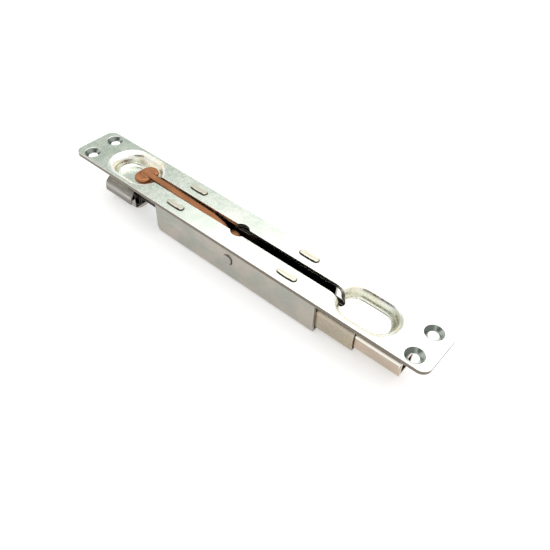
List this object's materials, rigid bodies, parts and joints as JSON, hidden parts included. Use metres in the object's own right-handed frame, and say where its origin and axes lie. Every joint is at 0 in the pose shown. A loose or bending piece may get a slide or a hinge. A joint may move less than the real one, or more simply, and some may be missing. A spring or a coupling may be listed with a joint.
{
  "type": "flush bolt",
  "caption": "Lever-action flush bolt: a slotted faceplate with two finger recesses, a folded housing under it and a hollow bolt driven by a swinging lever.",
  "frame": {"origin": "under the middle of the faceplate, on the flat underside of the housing", "axes": "+X along the faceplate towards the bolt's free end, +Y across it, +Z out of the faceplate's face"},
  "size_m": [0.2, 0.024, 0.0246],
  "materials": {
    "plate_zinc": "bright zinc plating over rolled sheet",
    "housing_zinc": "satin zinc plating over folded sheet",
    "guide_zinc": "satin zinc plating with a warm tint",
    "bolt_zinc": "polished zinc plating with a warm tint",
    "socket_zinc": "polished zinc plating",
    "saddle_zinc": "satin zinc plating",
    "drive_steel": "satin zinc plating over punched plate",
    "rivet_steel": "bright, lightly hammered",
    "pin_steel": "turned, zinc plated",
    "lever_copper": "satin copper plating"
  },
  "bodies": {
    "frame": {"faceplate": "plate_zinc", "housing": "housing_zinc", "front_guide": "guide_zinc", "guide_rivets": "rivet_steel", "pivot_pin": "pin_steel", "pivot_spacers": "pin_steel"},
    "lever_body": {"lever": "lever_copper", "lever_washers": "pin_steel", "crank_pin": "pin_steel"},
    "bolt_body": {"bolt": "bolt_zinc", "bolt_block": "drive_steel", "bolt_rivets": "rivet_steel", "drive_plate_near": "drive_steel", "drive_plate_far": "drive_steel", "drive_spacer": "drive_steel", "tail_shell": "socket_zinc", "tail_saddle": "saddle_zinc", "tail_block": "drive_steel", "tail_pins": "rivet_steel", "tail_rivet": "rivet_steel"}
  },
  "joints": [
    {"name": "lever_swing", "type": "hinge", "parent": "frame", "child": "lever_body", "pos_m": [0, 0, 0.0119], "axis": [0, 1, 0], "range_deg": [0, 161]},
    {"name": "bolt_slide", "type": "slide", "parent": "frame", "child": "bolt_body", "axis": [1, 0, 0], "range_m": [0, 0.01657]}
  ],
  "couplings": [
    {"joint": "bolt_slide", "follows": "lever_swing", "m_per_rad": 0.005896}
  ]
}
